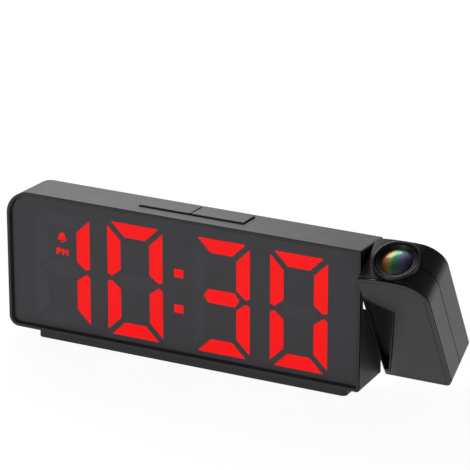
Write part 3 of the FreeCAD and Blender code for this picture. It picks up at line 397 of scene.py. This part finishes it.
# The smoother skin gives the eye a clearer run of light and shade round the corners.
# Painted shade: a black band without shine along the seam where the shells meet.
SEAM_SHADE_HALF_MM = 0.22
seam_shade_band = (round_to, float(top_middle @ round_to), SEAM_SHADE_HALF_MM / 1000, "040404")
dress(plastic("abs_spark_eroded_fine", "2A292C", 0.3, ERODED_MM, 0.008, seam_shade_band),
      "arm_face_plate", "arm_front_shell", "arm_rear_shell")
soften(0.8, "arm_face_plate")
soften(0.45, "arm_front_shell", "arm_rear_shell")

FACE_LEFT, FACE_RIGHT, FACE_TOP, FACE_BASE = -15.3, 18.35, -3.4, -73.4
FACE_WIDE, FACE_NARROW = 12.0, 3.0             # radii of its two right corners
FACE_FOOT = -11.6                              # where the line ends at the lower left
BOW_MM, BOW_MIDDLE, BOW_HALF = 1.4, 1.45, 16.9
LINE_INSETS_MM = (1.7, 2.1)                    # the line's two sides, from the edge
LINE_BEFORE_MM = 12.66                         # from the seam forward to the face


def rim_line(inset):
    """Points in mm along the face's outline less an inset, from the upper left to the
    lower left. The top bows up by BOW_MM (1 - u u), with u from -1 to 1 over the
    arm's width; quarter arcs (cos a, sin a) follow at the wide and the narrow corner.
    The first number runs along the case from the optical axis, the second up it."""
    right, top, base = FACE_RIGHT - inset, FACE_TOP - inset, FACE_BASE + inset
    wide, narrow = FACE_WIDE - inset, FACE_NARROW - inset
    x = np.linspace(FACE_LEFT, right - wide, 12)
    bow = BOW_MM * (1 - ((x - BOW_MIDDLE) / BOW_HALF) ** 2)
    a = np.linspace(math.pi / 2, 0, 14)
    b = np.linspace(0, -math.pi / 2, 8)
    return np.vstack([
        np.stack([x, top + bow], axis=1),
        np.stack([right - wide + np.cos(a) * wide,
                  top - wide + np.sin(a) * (wide + bow[-1])], axis=1),
        np.stack([right - narrow + np.cos(b) * narrow,
                  base + narrow + np.sin(b) * narrow], axis=1),
        [[FACE_FOOT, base]]])


# Painted shade: a thin black strip on the face plate, where its fine groove lies in
# shadow.
rim = np.stack([rim_line(inset) for inset in LINE_INSETS_MM]) / 1000
spots = (top_middle + rim[..., :1] * across + rim[..., 1:] * axis
         - round_to * LINE_BEFORE_MM / 1000)
outer, inner = np.arange(spots.shape[0] * spots.shape[1]).reshape(2, -1)
strip = np.stack([outer[:-1], outer[1:], inner[1:], inner[:-1]], axis=-1)
rim_shade_strip = new_piece("face_rim_groove_shade", spots.reshape(-1, 3).tolist(), strip.tolist(),
                      plastic("groove_shadow_black", "040404", 0.6))
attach(rim_shade_strip, "arm")

# Tray and lamp tube. Black ABS mouldings from a polished tool: one lines the hollow
# in the arm's face, the other holds the lamp, the pressed glass condenser and the
# image panel in line inside the arm.

# Polished black, set near zero, paints the deep shade in the arm's hollow, with a
# faint gleam along its edges.
dress(plastic("abs_polished_black_hollow_shade", "030303", 0.3), "arm_tray", "lamp_tube")
soften(0.15, "arm_tray")


def clear(name, code, rough):
    """Clear glass, with the IOR of crown glass: it bends what lies behind it."""
    material = blank(name)
    skin = add(material, "ShaderNodeBsdfPrincipled", Base_Color=tint(code),
               Roughness=rough, Transmission_Weight=1.0, IOR=1.5)
    add(material, "ShaderNodeOutputMaterial", Surface=skin.outputs["BSDF"])
    return material


dress(clear("glass_pressed_clear", "F4F8FF", 0.03), "condenser_lens", "image_panel")


# Ring and lens cell. Both are moulded in black ABS: the ring sits in a well in the
# arm's end and is turned to focus, and the cell in its bore carries the front lens,
# with fine steps like a thread in its mouth.
def turned(name, profile, material, body, node, count=160):
    """A turned piece: each profile point (radius r, height in mm from the middle of
    the ring's top face) goes round the optical axis, to r (cos a across + sin a
    round_to) + height along the axis, for a from 0 to 360 degrees."""
    radius, height = np.array(profile).T / 1000
    angle = np.linspace(0, 2 * math.pi, count, endpoint=False)[:, None]
    ring = np.cos(angle)[..., None] * across + np.sin(angle)[..., None] * round_to
    points = top_middle + radius[:, None] * ring + height[:, None] * axis
    near = np.arange(count * len(radius)).reshape(count, -1)
    far = np.roll(near, -1, axis=0)
    quads = np.stack([near, far, np.roll(far, -1, axis=1), np.roll(near, -1, axis=1)],
                     axis=-1).reshape(-1, 4)
    piece = new_piece(name, points.reshape(-1, 3).tolist(), quads.tolist(), material)
    piece.data.shade_smooth()
    piece.data.set_sharp_from_angle(angle=math.radians(32))
    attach(piece, body)
    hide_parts(node)
    return piece


# The ring's profile: up the outside, over a small step and the rounded rim, and into
# the bore.
RING = [(9.72, -7.6), (11.15, -7.6), (11.3, -7.45), (11.3, -1.75), (11.08, -1.6),
        (11.08, -1.35), (11.3, -1.2), (11.3, -0.5), (11.24, -0.27), (11.1, -0.1),
        (10.9, -0.02), (10.7, 0.0), (10.45, -0.02), (10.25, -0.12), (10.1, -0.3),
        (10.0, -0.6), (9.72, -1.3)]
# A polished dark skin gives the eye a thin gleam along the rim.
turned("knurled_focus_ring", RING, plastic("abs_polished_dark", "1D1C1F", 0.24), "ring",
       "focus_ring")

# The cell's mouth narrows in nine steps, each second one a little deeper. Matt black
# shows them only as faint rings.
step = np.arange(9)
thread = np.stack([np.linspace(9.1, 7.7, 9), -1.0 - 0.12 * step - 0.1 * (step % 2)],
                  axis=1)
CELL = np.vstack([[(8.0, -12.2), (9.6, -12.2), (9.6, -0.9), (9.5, -0.8), (9.25, -0.8)],
                  thread, [(7.5, -2.0), (7.35, -2.2), (7.35, -12.0)]])
turned("threaded_lens_cell", CELL, plastic("abs_matt_black", "050505", 0.35), "lens",
       "lens_cell")

# Front lens. It is ground from glass, coated in many thin layers and held in the
# cell. The coat gives the eye a dome that shifts from orange over green to violet
# with the way each part faces, over glass that is nearly black.
coated = blank("glass_ground_coated")
facing = add(coated, "ShaderNodeNewGeometry").outputs["Normal"]
lean = add(coated, "ShaderNodeVectorMath", facing, (0.85, -0.1, 0.35),
           settings={"operation": "DOT_PRODUCT"})
spread = add(coated, "ShaderNodeMapRange", Value=lean.outputs["Value"],
             From_Min=-0.15, From_Max=0.75)
hue = add(coated, "ShaderNodeValToRGB", Fac=spread.outputs["Result"])
COAT = [(0.0, "8A4636"), (0.2, "C8783E"), (0.36, "B8B45A"), (0.5, "5AA868"),
        (0.64, "6AA8A8"), (0.78, "9A8AC0"), (1.0, "5A4078")]
bar = hue.color_ramp
for at, code in COAT[1:-1]:
    bar.elements.new(at)
for element, (at, code) in zip(bar.elements, COAT):
    element.position = at
    element.color = tint(code)
gleam = add(coated, "ShaderNodeBsdfGlossy", Color=hue.outputs["Color"], Roughness=0.55)
glass = add(coated, "ShaderNodeBsdfPrincipled", Base_Color=tint("0C0A10"),
            Roughness=0.05, Coat_Weight=1.0, Coat_Roughness=0.02)
COAT_SHARE = 0.6
both = add(coated, "ShaderNodeMixShader", COAT_SHARE, glass.outputs["BSDF"],
           gleam.outputs["BSDF"])
add(coated, "ShaderNodeOutputMaterial", Surface=both.outputs["Shader"])

# The dome is a cap of a sphere: height is its top less (R - the root of R R - r r).
DOME_R, DOME_TOP, RIM_R, RIM_LOW = 14.0, 0.3, 7.3, -5.4
PIN_R = 0.01              # the small hole at the axis, where the rings would meet
radii = np.linspace(PIN_R, RIM_R, 20)
dome = np.stack([radii, DOME_TOP - (DOME_R - np.sqrt(DOME_R ** 2 - radii ** 2))], axis=1)
LENS = np.vstack([dome, [(RIM_R, RIM_LOW), (PIN_R, RIM_LOW)]])
turned("coated_front_lens", LENS, coated, "lens", "projector_lens", count=96)

# Camera. It stands before the clock's right end and above it, far off and with a long
# lens, so the case's edges run nearly parallel.
AZIMUTH, ELEVATION, DISTANCE = math.radians(26.34), math.radians(20.88), 1.4085
SENSOR_MM, FOCAL_SHARE = 36.0, 3040.54 / 470   # focal length over the picture's width
target = Vector((0.0294, -0.01265, 0.07231))
back = Vector((math.sin(AZIMUTH) * math.cos(ELEVATION),
               -math.cos(AZIMUTH) * math.cos(ELEVATION), math.sin(ELEVATION)))
camera = bpy.data.objects.new("camera", bpy.data.cameras.new("camera"))
camera.data.sensor_width = SENSOR_MM
camera.data.lens = SENSOR_MM * FOCAL_SHARE
camera.data.clip_start = 0.05
camera.location = target + back * DISTANCE
camera.rotation_euler = (math.pi / 2 - ELEVATION, 0, AZIMUTH)
bpy.context.scene.collection.objects.link(camera)
bpy.context.scene.camera = camera


# Lamps. A broad soft box behind and above lights the tops, a low one in front the
# faces, and a weak one on the right the arm's side.
def soft_box(name, place, aim, width, height, watts):
    """A rectangular lamp that looks at a point."""
    light = bpy.data.lights.new(name, "AREA")
    light.shape = "RECTANGLE"
    light.size, light.size_y, light.energy = width, height, watts
    lamp = bpy.data.objects.new(name, light)
    lamp.location = place
    lamp.rotation_euler = (Vector(aim) - Vector(place)).to_track_quat("-Z", "Y").to_euler()
    bpy.context.scene.collection.objects.link(lamp)


soft_box("box_over", place=(-0.5, 0.6, 0.75), aim=(0, 0, 0.03), width=0.6, height=0.6,
         watts=5.5)
soft_box("box_left", place=(-0.45, -1.3, 0.22), aim=(0, 0, 0.04), width=0.7, height=0.3,
         watts=3.0)
soft_box("box_right", place=(1.1, 0.2, 0.12), aim=(0.1, 0, 0.04), width=0.3, height=0.2,
         watts=0.6)

# Floor. Matt white paper on a light table: it glows, more to the camera than to the
# clock, and keeps the clock's soft shadow.
# Matt paper gives the eye a plain white that greys only where the clock shades it.
HALF_FLOOR, GLOW_SHARE, CAMERA_EXTRA = 2.2, 0.52, 0.33
steps = np.linspace(-HALF_FLOOR, HALF_FLOOR, 41)
gx, gy = np.meshgrid(steps, steps)
corners = np.stack([gx, gy, np.zeros_like(gx)], axis=-1).reshape(-1, 3)
index = np.arange(gx.size).reshape(gx.shape)
quads = np.stack([index[:-1, :-1], index[:-1, 1:], index[1:, 1:], index[1:, :-1]],
                 axis=-1).reshape(-1, 4)
paper = blank("paper_matt_white")
sheet = add(paper, "ShaderNodeBsdfDiffuse", Color=tint("F4F4F4"))
table_light = add(paper, "ShaderNodeEmission", Color=tint("FFFFFF"), Strength=1.12)
seen = add(paper, "ShaderNodeMath",
           add(paper, "ShaderNodeLightPath").outputs["Is Camera Ray"], CAMERA_EXTRA,
           GLOW_SHARE, settings={"operation": "MULTIPLY_ADD"})
bright = add(paper, "ShaderNodeMixShader", seen.outputs["Value"], sheet.outputs["BSDF"],
             table_light.outputs["Emission"])
add(paper, "ShaderNodeOutputMaterial", Surface=bright.outputs["Shader"])
floor = new_piece("floor", corners.tolist(), quads.tolist(), paper)

# Room. White behind and to the left, and dark to the right and in front as with a
# black flag; the camera itself sees plain white all round.
TO_LIGHT, WHITE_TO_CAMERA = (-0.45, 0.85, 0.25), 1.05
world = bpy.data.worlds.new("studio")
world.use_nodes = True
world.node_tree.nodes.clear()
toward = add(world, "ShaderNodeVectorMath",
             add(world, "ShaderNodeTexCoord").outputs["Generated"], TO_LIGHT,
             settings={"operation": "DOT_PRODUCT"})
wall = add(world, "ShaderNodeMapRange", settings={"interpolation_type": "SMOOTHSTEP"},
           Value=toward.outputs["Value"], From_Min=0.45, From_Max=0.95, To_Min=0.05,
           To_Max=0.66)
plain = add(world, "ShaderNodeMath",
            add(world, "ShaderNodeLightPath").outputs["Is Camera Ray"], WHITE_TO_CAMERA,
            settings={"operation": "MULTIPLY"})
power = add(world, "ShaderNodeMath", plain.outputs["Value"], wall.outputs["Result"],
            settings={"operation": "MAXIMUM"})
sky = add(world, "ShaderNodeBackground", Color=(0.985, 0.97, 1.03, 1),
          Strength=power.outputs["Value"])
add(world, "ShaderNodeOutputWorld", Surface=sky.outputs["Background"])
bpy.context.scene.world = world
bpy.context.scene.view_settings.view_transform = "Standard"
